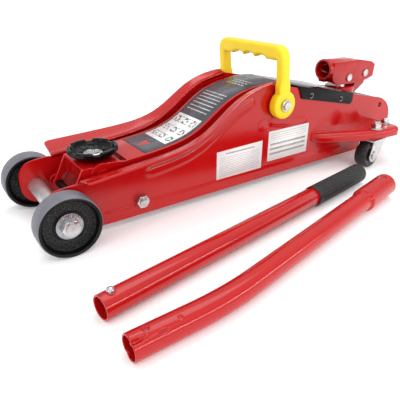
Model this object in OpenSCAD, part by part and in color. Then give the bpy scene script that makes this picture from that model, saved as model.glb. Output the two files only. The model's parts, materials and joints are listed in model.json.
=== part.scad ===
// Low-profile hydraulic trolley jack with a two-piece handle lying beside it.
// Jack axes: +X to the saddle end, +Y to the jack's left, +Z up.
// All dimensions are in millimetres, measured from the front axle's centre line on the floor.

/* [Frame] */
// Distance between the side plates' inner faces
frame_inner_w = 102; // [100:0.5:106]
// Thickness of the side plates
plate_t = 3; // [2.5:0.1:3.4]
// Height of the side plates' lower edge above the floor
ground_gap = 11; // [8:1:14]
// Width of the out-turned flange at its front end
flange_w_front = 31; // [20:1:32]
// Width of the out-turned flange at its rear end
flange_w_rear = 10; // [8:1:11]

/* [Front wheels] */
// Radius of the front wheels
wheel_r = 36; // [35:0.5:37]
// Width of the front wheels
wheel_w = 25; // [22:1:25]
// Radius of the axle ends that the wheels turn on
axle_end_r = 8; // [6:0.5:8.5]

/* [Lift arm] */
// Half the width of the lift arm
arm_half_w = 36; // [35.5:0.1:36.4]
// Angle that the lift arm rises through
lift_angle = 68; // [50:1:68]
// Length of the lever under the arm's pivot
lever_l = 55; // [50:1:55]

/* [Saddle] */
// Outer radius of the saddle's rim
saddle_r = 31; // [26:0.5:31]
// Height of the saddle's rim above its bracket
saddle_h = 14.5; // [10:0.5:16]

/* [Casters] */
// Radius of the caster wheels
caster_r = 21.5; // [20.5:0.5:21.5]
// Width of the caster wheels
caster_w = 20; // [14:0.5:20]
// Distance that a caster wheel trails behind its kingpin
caster_trail = 14; // [12:0.5:14]
// Direction in which the casters stand, from +X towards the outside
caster_turn = 3; // [0:1:60]

/* [Handle] */
// Outer radius of the handle tubes
tube_r = 12.7; // [12:0.1:13]
// Wall of the handle tubes
tube_wall = 1.8; // [1.5:0.1:2.2]
// Length of the upper handle tube with its rubber grip
grip_tube_l = 447; // [400:1:460]
// Length of the rubber grip
rubber_l = 123; // [100:1:130]
// Turn of the bend in the lower handle tube
bend_angle = 11; // [4:1:14]

/* [Carry handle] */
// Height of the carry handle's grip above its pivot
bail_h = 78; // [70:1:84]

/* [Hidden] */
$fn = 64;

// The origin is moved from the front axle to the middle of the whole set's footprint.
place_x = 278;
place_y = -75.75;

fit = 0.05;        // radial clearance of a running fit
gap = 0.3;         // clearance between bodies that pass each other
lap = 0.2;         // overlap that makes a weld one solid

plate_in = frame_inner_w / 2;
plate_out = plate_in + plate_t;

// Pivots, as [x, z]
arm_pivot = [-292, 91];
arm_hinge = [-60, 65];
rod_front = [-25, 40];
rod_rear = arm_pivot + rod_front - arm_hinge;
tie_at = [-97.5, 30.5];
bail_at = [-317.5, 119];
ram_z = 40;
lever_rest = 270 - lift_angle / 2;
lever_at = arm_pivot + lever_l * [cos(lever_rest), sin(lever_rest)];

// Flange of the side plates
flange_x0 = -25;
flange_x1 = -301;
flange_steps = 40;
flange_t = 2.6;
flange_rise_front = 8;
flange_rise_rear = 3.5;

red = "firebrick";
steel = "silver";
black = "dimgray";

// ---------- curves and outlines ----------

// Height of the side plates' bend line: a gentle rise, then an S up to the pump end
function bend_z(x) = 73.5 + 0.075 * (flange_x0 - x) + 55 / (1 + exp((x + 218) / 21));

// Height of the lift arm's top, which follows the plates and dips behind the crest
function arm_top_z(x) = 73 + 0.075 * (flange_x0 - x) + 50 / (1 + exp((x + 220) / 20))
    - (x < -300 ? 0.0022 * pow(x + 300, 2) : 0);

function steps(a, b, n) = [for (i = [0:n]) a + (b - a) * i / n];

function mix(a, b, t) = a + (b - a) * t;

// The four corners of the tangent strip between two circles
function tangent_strip(a, ra, b, rb) =
    let (d = norm(b - a), dir = atan2(b.y - a.y, b.x - a.x), open = acos((ra - rb) / d))
    [
        a + ra * [cos(dir + open), sin(dir + open)],
        a + ra * [cos(dir - open), sin(dir - open)],
        b + rb * [cos(dir - open), sin(dir - open)],
        b + rb * [cos(dir + open), sin(dir + open)]
    ];

module bar_2d(a, ra, b, rb) {
    translate(a) circle(ra);
    translate(b) circle(rb);
    polygon(tangent_strip(a, ra, b, rb));
}

// Extrudes an [x, z] outline across the jack from y0 to y1
module across(y0, y1) {
    translate([0, y1, 0]) rotate([90, 0, 0]) linear_extrude(y1 - y0) children();
}

// Cylinder across the jack from y0 to y1
module cross_pin(at, r, y0, y1) {
    translate([at.x, y1, at.y]) rotate([90, 0, 0]) cylinder(r = r, h = y1 - y0);
}

// Hexagon bar across the jack, af is its width across the flats
module cross_hex(at, af, y0, y1) {
    translate([at.x, y1, at.y]) rotate([90, 0, 0])
        cylinder(r = af / sqrt(3), h = y1 - y0, $fn = 6);
}

// Cylinder along the jack from x0 to x1
module long_pin(z, r, x0, x1) {
    translate([x0, 0, z]) rotate([0, 90, 0]) cylinder(r = r, h = x1 - x0);
}

module both_sides() {
    children();
    mirror([0, 1, 0]) children();
}

module place() {
    translate([place_x, place_y, 0]) children();
}

// ---------- side plates ----------

plate_rear_x = -592;
rear_hole_at = [-559, 82];
rear_hole_r = 4.3;

module plate_outline() {
    difference() {
        polygon(concat(
            [[-3, ground_gap], [9, 16], [19, 30], [19, 56], [14, 63], [4, 68], [-14, 69.5]],
            [for (x = steps(flange_x0, flange_x1, flange_steps)) [x, bend_z(x) - 1.6]],
            [[-316, 144], [-339, 139], [-549, 96.4], [-568, 89], [-583, 76], [plate_rear_x, 60]],
            [[plate_rear_x, 30], [-583, 17], [-570, ground_gap]]
        ));
        translate(rear_hole_at) circle(rear_hole_r);
        translate([0, wheel_r]) circle(axle_end_r);
        translate(tie_at) circle(5);
        translate(arm_pivot) circle(9);
        translate(rod_rear) circle(6);
        translate(bail_at) circle(5);
    }
}

// Cross-section of the flange as [outward from the inner face, up from the bend line]
function flange_section(w, rise) = [
    [0.3, -4], [0.3, -1], [1.2, 0.2], [w / 2, rise / 2 + 0.9], [w - 1.4, rise + 0.2],
    [w, rise - 0.9], [w - 0.6, rise - 2.2], [w / 2, rise / 2 + 0.9 - flange_t],
    [plate_t - 0.3, -2.6], [plate_t - 0.3, -4]
];

module flange() {
    xs = steps(flange_x0, flange_x1, flange_steps);
    n = len(flange_section(1, 1));
    points = [for (i = [0:flange_steps])
        let (
            x = xs[i],
            t = i / flange_steps,
            slope = bend_z(x + 0.5) - bend_z(x - 0.5),
            up = [-slope, 1] / norm([slope, 1]),
            section = flange_section(mix(flange_w_front, flange_w_rear, t),
                                     mix(flange_rise_front, flange_rise_rear, t))
        )
        for (p = section) [x + up.x * p.y, plate_in + p.x, bend_z(x) + up.y * p.y]
    ];
    sides = [for (i = [0:flange_steps - 1]) for (k = [0:n - 1])
        [i * n + k, (i + 1) * n + k, (i + 1) * n + (k + 1) % n, i * n + (k + 1) % n]];
    front = [[for (k = [0:n - 1]) k]];
    rear = [[for (k = [n - 1:-1:0]) flange_steps * n + k]];
    polyhedron(points, concat(sides, front, rear), convexity = 6);
}

// Raised bead that follows the flange on the outside of the plate
bead_x0 = -112;
bead_x1 = -272;
bead_drop = 16;
bead_half = 6;
bead_proud = 1.8;

module bead_outline() {
    xs = steps(bead_x0, bead_x1, 20);
    back = steps(bead_x1, bead_x0, 20);
    polygon(concat(
        [for (x = xs) [x, bend_z(x) - bead_drop + bead_half]],
        [for (x = back) [x, bend_z(x) - bead_drop - bead_half]]
    ));
    translate([bead_x0, bend_z(bead_x0) - bead_drop]) circle(bead_half);
    translate([bead_x1, bend_z(bead_x1) - bead_drop]) circle(bead_half);
}

module side_plate() {
    across(plate_in, plate_out) plate_outline();
    flange();
    across(plate_out - lap, plate_out + bead_proud) bead_outline();
}

module side_plate_left() { color(red) place() side_plate(); }
module side_plate_right() { color(red) place() mirror([0, 1, 0]) side_plate(); }

// ---------- front axle and wheels ----------

axle_at = [0, wheel_r];
wheel_in = 59.5;
wheel_out = wheel_in + wheel_w;
hub_out = 76.5;
hub_in = wheel_in + 2.5;
axle_r = 10;
axle_end = 88;     // half the length of the axle's threaded ends

module front_axle() {
    color(steel) place() {
        cross_pin(axle_at, axle_r, -plate_in + gap, plate_in - gap);
        cross_pin(axle_at, axle_end_r - fit, -hub_out - 2.1, hub_out + 2.1);
        cross_pin(axle_at, 6.5, -axle_end, axle_end);
    }
}

module axle_washers() {
    color(steel) place() both_sides() {
        difference() {
            cross_pin(axle_at, 15.3, hub_out + gap, hub_out + 2);
            cross_pin(axle_at, axle_end_r, hub_out, hub_out + 2.5);
        }
        difference() {
            cross_pin(axle_at, 12, plate_out, hub_in - gap);
            cross_pin(axle_at, axle_end_r, plate_out - 1, hub_in);
        }
    }
}

module axle_nuts() {
    color(steel) place() both_sides() difference() {
        cross_hex(axle_at, 19, hub_out + 2.2, 86);
        cross_pin(axle_at, 6.5, hub_out, axle_end + 1);
    }
}

// Half section of a front wheel as [radius, distance from the inner face]
module wheel_section() {
    bore = axle_end_r;
    polygon([
        [bore, hub_in - wheel_in], [17, hub_in - wheel_in], [18.5, 5.5], [27.5, 5.5],
        [29, 3.5], [30.5, 0.8], [32, 0], [wheel_r - 2.5, 0], [wheel_r - 0.8, 0.8],
        [wheel_r, 2.5], [wheel_r, wheel_w - 2.5], [wheel_r - 0.8, wheel_w - 0.8],
        [wheel_r - 2.5, wheel_w], [32.8, wheel_w], [31.8, wheel_w - 0.8],
        [29.8, wheel_w - 6.6], [28.8, wheel_w - 7.4], [19, wheel_w - 7], [18, wheel_w - 7.8],
        [17, hub_out - wheel_in], [bore, hub_out - wheel_in]
    ]);
}

module front_wheel() {
    translate([0, wheel_in, wheel_r]) rotate([-90, 0, 0])
        rotate_extrude($fn = 96) wheel_section();
}

module front_wheel_left() { color(black) place() front_wheel(); }
module front_wheel_right() { color(black) place() mirror([0, 1, 0]) front_wheel(); }

// ---------- cross members of the frame ----------

module tie_bolt() { color(steel) place() cross_pin(tie_at, 5, -plate_out - 10, plate_out + 10); }

module tie_spacer() {
    color(red) place() difference() {
        cross_pin(tie_at, 7, -plate_in, plate_in);
        cross_pin(tie_at, 5, -plate_in - 1, plate_in + 1);
    }
}

module tie_nuts() {
    color(steel) place() both_sides() difference() {
        cross_hex(tie_at, 15, plate_out, plate_out + 8);
        cross_pin(tie_at, 5, plate_out - 1, plate_out + 9);
    }
}

module arm_pivot_shaft() { color(red) place() cross_pin(arm_pivot, 9, -plate_out - 0.6, plate_out + 0.6); }

module pivot_bushes() {
    color(steel) place() both_sides() difference() {
        cross_pin(arm_pivot, 13, arm_half_w + gap, plate_in);
        cross_pin(arm_pivot, 9, arm_half_w, plate_in + 1);
    }
}

rod_in = 39;
rod_out = 43;

module rod_studs() {
    color(steel) place() both_sides() {
        cross_pin(rod_rear, 6, rod_in - 1.3, plate_out);
        cross_pin(rod_rear, 8.5, rod_out + gap, plate_in);
        cross_pin(rod_rear, 8.5, rod_in - 2.3, rod_in - gap);
    }
}

block_x0 = -572;
block_x1 = -446;
block_top = 90;
base_t = 3;

module base_plate() {
    color(red) place() translate([-568, -plate_in, ground_gap])
        cube([118, 2 * plate_in, base_t]);
}

// ---------- hydraulic unit ----------

yoke_x = -514;
bore_r = 9;

module hydraulic_block() {
    color("gray") place() difference() {
        union() {
            translate([block_x0, -46, ground_gap + base_t])
                cube([block_x1 - block_x0, 92, block_top - ground_gap - base_t]);
            translate([yoke_x, 0, block_top - lap]) cylinder(r = 14, h = 12);
        }
        translate([yoke_x, 0, 40]) cylinder(r = bore_r, h = 70);
        translate([-475, 0, block_top - 12]) cylinder(r = 6, h = 20);
        translate([block_x0 - 1, 25, 30]) rotate([0, 90, 0]) cylinder(r = 7, h = 21);
        cross_pin(rear_hole_at, rear_hole_r, -50, 50);
    }
}

reservoir_x1 = -378;

module oil_reservoir() {
    color(red) place() difference() {
        long_pin(ram_z, 28, block_x1, reservoir_x1);
        long_pin(ram_z, 26, block_x1 - 1, reservoir_x1 - 3);
        long_pin(ram_z, 20, block_x1, reservoir_x1 + 1);
    }
}

module ram_cylinder() {
    color("gray") place() difference() {
        long_pin(ram_z, 20, block_x1, reservoir_x1 + 4);
        long_pin(ram_z, 12.5, block_x1 + 6, reservoir_x1 + 5);
    }
}

module release_screw() {
    color(steel) place() {
        translate([block_x0 - 6, 25, 30]) rotate([0, 90, 0]) cylinder(r = 7, h = 26);
        translate([block_x0 - 12, 25, 30]) rotate([0, 90, 0]) cylinder(r = 7, h = 6, $fn = 6);
    }
}

module oil_filler_plug() {
    color(steel) place() translate([-475, 0, block_top - 12]) {
        cylinder(r = 6, h = 12.1);
        translate([0, 0, 12]) cylinder(r = 8, h = 2);
        translate([0, 0, 14]) cylinder(r = 6.5, h = 4, $fn = 6);
    }
}

// The return spring lies in the hollow ram, its rear end held by the cylinder's floor
spring_r = 5;
wire_r = 1;
spring_x0 = block_x1 + 7;
spring_turns = 14;
spring_pitch = 6;

module return_spring() {
    per_turn = 12;
    n = spring_turns * per_turn;
    sides = 6;
    points = [for (i = [0:n])
        let (a = i * 360 / per_turn, x = spring_x0 + wire_r + i * spring_pitch / per_turn)
        for (k = [0:sides - 1])
            let (b = k * 360 / sides, r = spring_r + wire_r * cos(b))
            [x + wire_r * sin(b), r * cos(a), ram_z + r * sin(a)]
    ];
    faces = [for (i = [0:n - 1]) for (k = [0:sides - 1])
        [i * sides + k, (i + 1) * sides + k, (i + 1) * sides + (k + 1) % sides,
         i * sides + (k + 1) % sides]];
    first = [[for (k = [0:sides - 1]) k]];
    last = [[for (k = [sides - 1:-1:0]) n * sides + k]];
    color(steel) place() polyhedron(points, concat(faces, first, last), convexity = 10);
}

// ---------- top cover ----------

cover_x0 = -480;
cover_x1 = -356;
cover_t = 2;
flap_corner = 6;

// Height of the side plates' straight rear edge
function rear_edge_z(x) = 139 + (x + 339) * (139 - 96.4) / (549 - 339);

module top_cover() {
    z0 = rear_edge_z(cover_x0) + gap;
    z1 = rear_edge_z(cover_x1) + gap;
    w = plate_out + gap + cover_t;
    color(black) place() {
        across(-w, w) polygon([[cover_x0, z0], [cover_x1, z1], [cover_x1, z1 + cover_t],
                               [cover_x0, z0 + cover_t]]);
        both_sides() across(w - cover_t, w) {
            polygon([[cover_x0, z0 + lap], [cover_x1, z1 + lap], [cover_x1 - 8, z1 - 17],
                     [cover_x0 + flap_corner, z0 - 15], [cover_x0, z0 - 15 + flap_corner]]);
            translate([cover_x0 + flap_corner, z0 - 15 + flap_corner]) circle(flap_corner);
        }
    }
}

cover_screw_xs = [-382, -450];

module cover_screws() {
    color(black) place() both_sides() for (x = cover_screw_xs)
        cross_pin([x, rear_edge_z(x) - 9], 4, plate_out + gap + cover_t, plate_out + 3.6);
}

// ---------- casters ----------

kingpin_at = [-500, 94];
wing_top = 60;
wing_t = 3;
wing_lip = 13.5;
fork_top = 46.2;
fork_t = 2.5;
kingpin_r = 5;
kingpin_head_t = 1.2;
wing_bolt_at = [-537, 84];
wing_bolt_r = 4;

// Plan of a wing: a swept front edge and a rounded outer corner
module wing_plan(inset) {
    corner = [-535, 96];
    r = 14 - inset;
    difference() {
        union() {
            polygon([
                [-396 - 2 * inset, plate_out], [-402 - 2 * inset, 64 - inset],
                [-434, 80 - inset], [-466, 97 - inset], [-500, 107 - inset],
                [corner.x + 1, corner.y + r], [corner.x, corner.y], [corner.x - r, corner.y],
                [corner.x - r, plate_out]
            ]);
            translate(corner) circle(r);
        }
        translate([-700, 0]) square([400, plate_out]);
    }
}

module caster_wing() {
    difference() {
        union() {
            translate([0, 0, wing_top - wing_t]) linear_extrude(wing_t) wing_plan(0);
            translate([0, 0, wing_top - wing_lip]) linear_extrude(wing_lip - lap) difference() {
                wing_plan(0);
                wing_plan(3);
            }
        }
        translate([kingpin_at.x, kingpin_at.y, wing_top - 10]) cylinder(r = kingpin_r, h = 20);
        translate([wing_bolt_at.x, wing_bolt_at.y, wing_top - 10]) cylinder(r = wing_bolt_r, h = 20);
        translate([-600, plate_out - 1, wing_top - 20]) cube([60, 34, 20 - wing_t]);
    }
}

module caster_wing_left() { color(red) place() caster_wing(); }
module caster_wing_right() { color(red) place() mirror([0, 1, 0]) caster_wing(); }

module at_kingpin() { translate([kingpin_at.x, kingpin_at.y, 0]) children(); }

module caster_kingpins() {
    head_z = fork_top - fork_t - gap - kingpin_head_t;
    color(steel) place() both_sides() at_kingpin() {
        translate([0, 0, head_z]) cylinder(r = kingpin_r, h = wing_top + 12 - head_z);
        translate([0, 0, head_z]) cylinder(r = 6.5, h = kingpin_head_t);
        translate([0, 0, fork_top + gap]) cylinder(r = 8, h = wing_top - wing_t - fork_top - gap);
    }
}

module kingpin_nuts() {
    color(steel) place() both_sides() at_kingpin() difference() {
        union() {
            translate([0, 0, wing_top]) cylinder(r = 9.5, h = 1.5);
            translate([0, 0, wing_top + 1.5]) cylinder(r = 8.5, h = 8, $fn = 6);
        }
        translate([0, 0, wing_top - 1]) cylinder(r = kingpin_r, h = 20);
    }
}

module wing_bolts() {
    color(steel) place() both_sides() translate([wing_bolt_at.x, wing_bolt_at.y, 0]) {
        translate([0, 0, wing_top - wing_t - 5]) cylinder(r = wing_bolt_r, h = wing_t + 14);
        translate([0, 0, wing_top - wing_t - 5]) cylinder(r = 7, h = 5, $fn = 6);
        translate([0, 0, wing_top]) cylinder(r = 8.5, h = 1.5);
        translate([0, 0, wing_top + 1]) cylinder(r = 7, h = 6, $fn = 6);
    }
}

// Turns from the caster's own frame, with the wheel trailing along +X, to its place
module at_caster() { at_kingpin() rotate([0, 0, caster_turn]) children(); }

caster_axle_at = [caster_trail, caster_r];
fork_half = caster_w / 2 + 1;
fork_cheek_r = 11;

module caster_fork() {
    difference() {
        union() {
            translate([-14, -fork_half - fork_t, fork_top - fork_t])
                cube([34.6, 2 * (fork_half + fork_t), fork_t]);
            both_sides() across(fork_half, fork_half + fork_t) {
                translate(caster_axle_at) circle(fork_cheek_r);
                polygon([[-12, fork_top], [20, fork_top],
                         caster_axle_at + fork_cheek_r * [cos(10), sin(10)],
                         caster_axle_at + fork_cheek_r * [cos(205), sin(205)]]);
            }
        }
        translate([0, 0, fork_top - 10]) cylinder(r = kingpin_r + fit, h = 20);
        cross_pin(caster_axle_at, 4, -30, 30);
    }
}

module caster_rivet() {
    cross_pin(caster_axle_at, 4, -fork_half - fork_t - 0.2, fork_half + fork_t + 0.2);
    both_sides() cross_pin(caster_axle_at, 6.5, fork_half + fork_t, fork_half + fork_t + 2);
}

module caster_wheel() {
    h = caster_w / 2;
    r = caster_r;
    translate([caster_axle_at.x, 0, caster_r]) rotate([90, 0, 0]) rotate_extrude($fn = 72)
        polygon([[4 + fit, -h], [8, -h], [9, 1 - h], [16, 1 - h], [17.5, -h], [r - 3.5, -h],
                 [r - 1, 1.4 - h], [r, 4 - h], [r, h - 4], [r - 1, h - 1.4], [r - 3.5, h],
                 [17.5, h], [16, h - 1], [9, h - 1], [8, h], [4 + fit, h]]);
}

module caster_fork_left() { color(steel) place() at_caster() caster_fork(); }
module caster_fork_right() { color(steel) place() mirror([0, 1, 0]) at_caster() caster_fork(); }
module caster_rivet_left() { color(steel) place() at_caster() caster_rivet(); }
module caster_rivet_right() { color(steel) place() mirror([0, 1, 0]) at_caster() caster_rivet(); }
module caster_wheel_left() { color(black) place() at_caster() caster_wheel(); }
module caster_wheel_right() { color(black) place() mirror([0, 1, 0]) at_caster() caster_wheel(); }

// ---------- carry handle ----------

bail_lean = 5;
bail_in = plate_out + 2.7;
bail_t = 13;
bail_leg_w = 15;
ring_r = 19;

module bail_leg() {
    across(bail_in, bail_in + bail_t) difference() {
        union() {
            circle(ring_r);
            translate([-10.5, 0]) square([21, 36]);
            translate([-bail_leg_w / 2, 30]) square([bail_leg_w, bail_h - 30]);
        }
        circle(5 + fit);
    }
}

module carry_handle() {
    outer = bail_in + bail_t;
    color("gold") place() translate([bail_at.x, 0, bail_at.y]) rotate([0, bail_lean, 0]) {
        both_sides() bail_leg();
        difference() {
            translate([-bail_leg_w / 2, -outer, bail_h - 19])
                cube([bail_leg_w, 2 * outer, 19]);
            for (y = [-24, 0, 24]) translate([-20, y, bail_h - 29])
                rotate([0, 90, 0]) cylinder(r = 14, h = 40);
        }
    }
}

module carry_bolts() {
    color(steel) place() both_sides() {
        cross_pin(bail_at, 5, plate_in, bail_in + bail_t + 0.5);
        cross_pin(bail_at, 8, bail_in + bail_t + 0.4, bail_in + bail_t + 1.8);
        cross_hex(bail_at, 11, bail_in + bail_t + 1.6, bail_in + bail_t + 5);
        cross_pin(bail_at, 8.5, plate_out, bail_in - gap);
    }
}

// ---------- labels ----------

label_t = 0.3;

module side_labels() {
    color("white") place() across(plate_out, plate_out + label_t) {
        polygon([[-213, 27.5], [-293.5, 27.5], [-293.5, 69], [-213, 67.5]]);
        polygon([[-305, 34], [-386, 34], [-386, 79.5], [-305, 79.5]]);
    }
}

// ---------- lift arm ----------

arm_x0 = -92;
arm_x1 = -345;
arm_t = 3;
cheek_in = arm_half_w - arm_t;
arm_steps = 50;
lever_in = 15;
lever_out = 20;

module arm_top_outline(t) {
    xs = steps(arm_x0, arm_x1, arm_steps);
    back = steps(arm_x1, arm_x0, arm_steps);
    polygon(concat([for (x = xs) [x, arm_top_z(x)]], [for (x = back) [x, arm_top_z(x) - t]]));
}

module arm_cheek_outline() {
    xs = steps(arm_x0, arm_x1, arm_steps);
    polygon(concat(
        [[arm_hinge.x, arm_hinge.y + 16]],
        [for (x = xs) [x, arm_top_z(x) - 0.5]],
        [[-338, 108], [arm_pivot.x - 22, 80], [arm_pivot.x, arm_pivot.y - 24],
         [-200, 66], [-120, 55], [arm_hinge.x, arm_hinge.y - 16]]
    ));
    translate(arm_hinge) circle(16);
    translate(arm_pivot) circle(24);
}

module lift_arm() {
    color(red) place() difference() {
        union() {
            across(-arm_half_w, arm_half_w) arm_top_outline(arm_t);
            both_sides() across(cheek_in, arm_half_w) arm_cheek_outline();
            cross_pin(arm_pivot, 15, -cheek_in - lap, cheek_in + lap);
            both_sides() across(lever_in, lever_out) bar_2d(arm_pivot, 18, lever_at, 12);
        }
        cross_pin(arm_pivot, 9 + fit, -50, 50);
        cross_pin(arm_hinge, 6 + fit, -50, 50);
        cross_pin(lever_at, 6, -50, 50);
    }
}

module lever_pin() { color(steel) place() cross_pin(lever_at, 6, -lever_out - 1, lever_out + 1); }

// The film takes the arm's own steps, so that it lies on its faces
film_x0 = -116;
film_half_w = 32;

module arm_film() {
    xs = [for (x = steps(arm_x0, arm_x1, arm_steps)) if (x < film_x0 && x > arm_x1 + 1) x];
    back = [for (i = [len(xs) - 1:-1:0]) xs[i]];
    color("slategray") place() across(-film_half_w, film_half_w) polygon(concat(
        [for (x = xs) [x, arm_top_z(x) + label_t]],
        [for (x = back) [x, arm_top_z(x) + 0.02]]
    ));
}

// ---------- saddle bracket and saddle ----------

saddle_x = -63;
bracket_top = 77;
bracket_half = 32.5;

module bracket_cheek() {
    difference() {
        union() {
            bar_2d(arm_hinge, 12, rod_front, 9);
            polygon([[-36, bracket_top], [rod_front.x + 9, rod_front.y],
                     [rod_front.x, rod_front.y + 2], arm_hinge + [0, -10],
                     arm_hinge + [-18, -4], [-86, bracket_top - 3], [-86, bracket_top]]);
        }
        translate(arm_hinge) circle(6);
        translate(rod_front) circle(5);
    }
}

module saddle_bracket() {
    color(red) place() difference() {
        union() {
            translate([-86, -bracket_half, bracket_top - 4])
                cube([50, 2 * bracket_half, 4]);
            translate([-40, -bracket_half + 3, bracket_top - 22])
                cube([3, 2 * bracket_half - 6, 20]);
            both_sides() across(bracket_half - 4, bracket_half) bracket_cheek();
            translate([saddle_x, 0, bracket_top - 14]) cylinder(r = 9, h = 12);
        }
        translate([saddle_x, 0, bracket_top - 20]) cylinder(r = 4, h = 30);
    }
}

module hinge_pins() {
    color(steel) place() both_sides() {
        cross_pin(arm_hinge, 6, bracket_half - 8, arm_half_w + gap);
        cross_pin(arm_hinge, 8.5, arm_half_w + gap, rod_in - 0.4);
    }
}

module rod_bolt() {
    color(black) place() {
        cross_pin(rod_front, 5, -rod_out - 0.5, rod_out + 0.5);
        both_sides() cross_hex(rod_front, 14, rod_out + gap, rod_out + 5.5);
        both_sides() difference() {
            cross_pin(rod_front, 7.5, bracket_half, rod_in - gap);
            cross_pin(rod_front, 5, bracket_half - 1, rod_in);
        }
    }
}

// A dished cup with notches round its rim, turning on its screw
module saddle() {
    r = saddle_r;
    h = saddle_h;
    floor_z = 5;
    notches = 6;
    color(black) place() translate([saddle_x, 0, bracket_top + gap]) difference() {
        rotate_extrude($fn = 96) polygon([
            [4 + fit, 0], [18, 0], [22, 1.5], [r - 2, h - 7], [r, h - 5], [r, h], [r - 4, h],
            [r - 5, h - 3], [21, floor_z], [4 + fit, floor_z]
        ]);
        for (i = [0:notches - 1]) rotate([0, 0, i * 360 / notches + 12])
            translate([r - 7, -4.5, h - 2.5]) cube([10, 9, 5]);
    }
}

module saddle_screw() {
    color(steel) place() translate([saddle_x, 0, 0]) {
        translate([0, 0, bracket_top - 13.5]) cylinder(r = 4, h = 20);
        translate([0, 0, bracket_top + 5 + 2 * gap]) cylinder(r = 12, h = 1.8);
    }
}

// ---------- levelling rods ----------

module levelling_rod() {
    across(rod_in, rod_out) difference() {
        union() {
            bar_2d(rod_rear, 7, rod_front, 7);
            translate(rod_rear) circle(11);
            translate(rod_front) circle(9.5);
        }
        translate(rod_rear) circle(6 + fit);
        translate(rod_front) circle(5 + gap);
    }
}

module levelling_rod_left() { color(red) place() levelling_rod(); }
module levelling_rod_right() { color(red) place() mirror([0, 1, 0]) levelling_rod(); }

// ---------- ram ----------

ram_r = 12.5 - fit;
ram_x0 = block_x1 + 7;
head_half = lever_in - 1;
head_r = 13;
slot_r = 7.2;

module ram_rod() {
    color(steel) place() difference() {
        long_pin(ram_z, ram_r, ram_x0, lever_at.x - head_r);
        long_pin(ram_z, 7.5, ram_x0 - 1, lever_at.x - 30);
    }
}

// The slot takes the lever pin's rise and fall as the ram moves level
module ram_head() {
    low = arm_pivot.y - lever_l;
    high = lever_at.y;
    color("gray") place() across(-head_half, head_half) difference() {
        bar_2d([lever_at.x, low - 2], head_r, [lever_at.x, high + 2], head_r);
        bar_2d([lever_at.x, low], slot_r, [lever_at.x, high], slot_r);
    }
}

// ---------- pump ----------

fulcrum_at = [-557, 130];
plunger_at = [-515.3, 126.5];
socket_half = 16.5;
socket_wall = 2.6;
web_half = socket_half - socket_wall - 0.6;
yoke_z0 = block_top + gap;
yoke_h = 21.5;

module swivel_yoke() {
    color(red) place() difference() {
        union() {
            translate([yoke_x, 0, yoke_z0]) cylinder(r = 24, h = yoke_h);
            across(-web_half, web_half) {
                polygon([[yoke_x - 18, yoke_z0 + 4], [yoke_x - 18, yoke_z0 + 15],
                         [fulcrum_at.x + 9, fulcrum_at.y + 1], [fulcrum_at.x - 8, fulcrum_at.y - 4],
                         [fulcrum_at.x - 4, yoke_z0 + 21], [yoke_x - 32, yoke_z0 + 12]]);
                translate(fulcrum_at) circle(9);
            }
        }
        translate([yoke_x, 0, yoke_z0 - 1]) cylinder(r = 14 + fit, h = 13);
        translate([yoke_x, 0, yoke_z0]) cylinder(r = bore_r, h = yoke_h + 1);
        cross_pin(fulcrum_at, 4 + fit, -20, 20);
    }
}

module socket_rivet(at) {
    cross_pin(at, 4, -socket_half - 0.1, socket_half + 0.1);
    both_sides() cross_pin(at, 6, socket_half, socket_half + 1.8);
}

module fulcrum_rivet() { color(steel) place() socket_rivet(fulcrum_at); }
module plunger_rivet() { color(steel) place() socket_rivet(plunger_at); }

socket_tilt = 3;
socket_bore_r = 13.6;
mouth_x = -466;
mouth_z = 137;
socket_deep = 35;
socket_room_x = -479;   // front end of the hollow under the bore

module handle_socket() {
    color(red) place() difference() {
        translate([fulcrum_at.x, 0, fulcrum_at.y]) rotate([0, -socket_tilt, 0])
        translate([-fulcrum_at.x, 0, -fulcrum_at.y]) difference() {
            union() {
                long_pin(mouth_z, socket_half, mouth_x - 60, mouth_x);
                across(-socket_half, socket_half) polygon([
                    [-473, 127], [-480, 115], [-490, 113], [-546, 114.5], [-566, 119],
                    [-580, 124], [-580, 144], [-569, 148.5], [-535, 152.3], [-474, 149]
                ]);
            }
            translate([0, 0, mouth_z]) {
                long_pin(0, socket_bore_r, mouth_x - socket_deep, mouth_x + 1);
            }
            translate([-700, -socket_half + socket_wall, 100])
                cube([700 + mouth_x - socket_deep + 2, 2 * (socket_half - socket_wall), 45.5]);
            translate([mouth_x - socket_deep, -socket_half + socket_wall, 100])
                cube([socket_room_x - mouth_x + socket_deep, 2 * (socket_half - socket_wall),
                      mouth_z - 100]);
            translate([mouth_x - 10, 0, mouth_z + 5]) cylinder(r = 3.4, h = 20);
        }
        cross_pin(fulcrum_at, 4, -30, 30);
        cross_pin(plunger_at, 4, -30, 30);
    }
}

// The slot in the plunger's head takes the rivet's swing
pump_swing = 6;
plunger_slot_r = 4.6;

module pump_plunger() {
    color(steel) place() difference() {
        union() {
            translate([yoke_x, 0, 60]) cylinder(r = bore_r - fit, h = plunger_at.y - 68);
            across(-7, 7) bar_2d([yoke_x - pump_swing, plunger_at.y], 8,
                                 [yoke_x + 1, plunger_at.y], 8);
        }
        across(-8, 8) bar_2d([plunger_at.x - pump_swing, plunger_at.y], plunger_slot_r,
                             [plunger_at.x + 0.6, plunger_at.y], plunger_slot_r);
    }
}

// ---------- loose handle ----------

// Puts a tube that is drawn along +X from its near end on the floor, heading to the rear.
// It rests on its near end and on the thicker part, of radius r, that starts at distance l.
module on_floor(at, heading, r, l) {
    translate([at.x, at.y, tube_r]) rotate([0, -atan((r - tube_r) / l), 180 + heading]) children();
}

grip_start = [16, 192.4];
grip_heading = 8.3;
rubber_r = tube_r + 1.3;

module tube_x(r, x0, x1) { translate([x0, 0, 0]) rotate([0, 90, 0]) cylinder(r = r, h = x1 - x0); }

button_x = 12;
button_r = 4;

module on_grip_place() {
    on_floor(grip_start, grip_heading, rubber_r, grip_tube_l - rubber_l) children();
}

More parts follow.
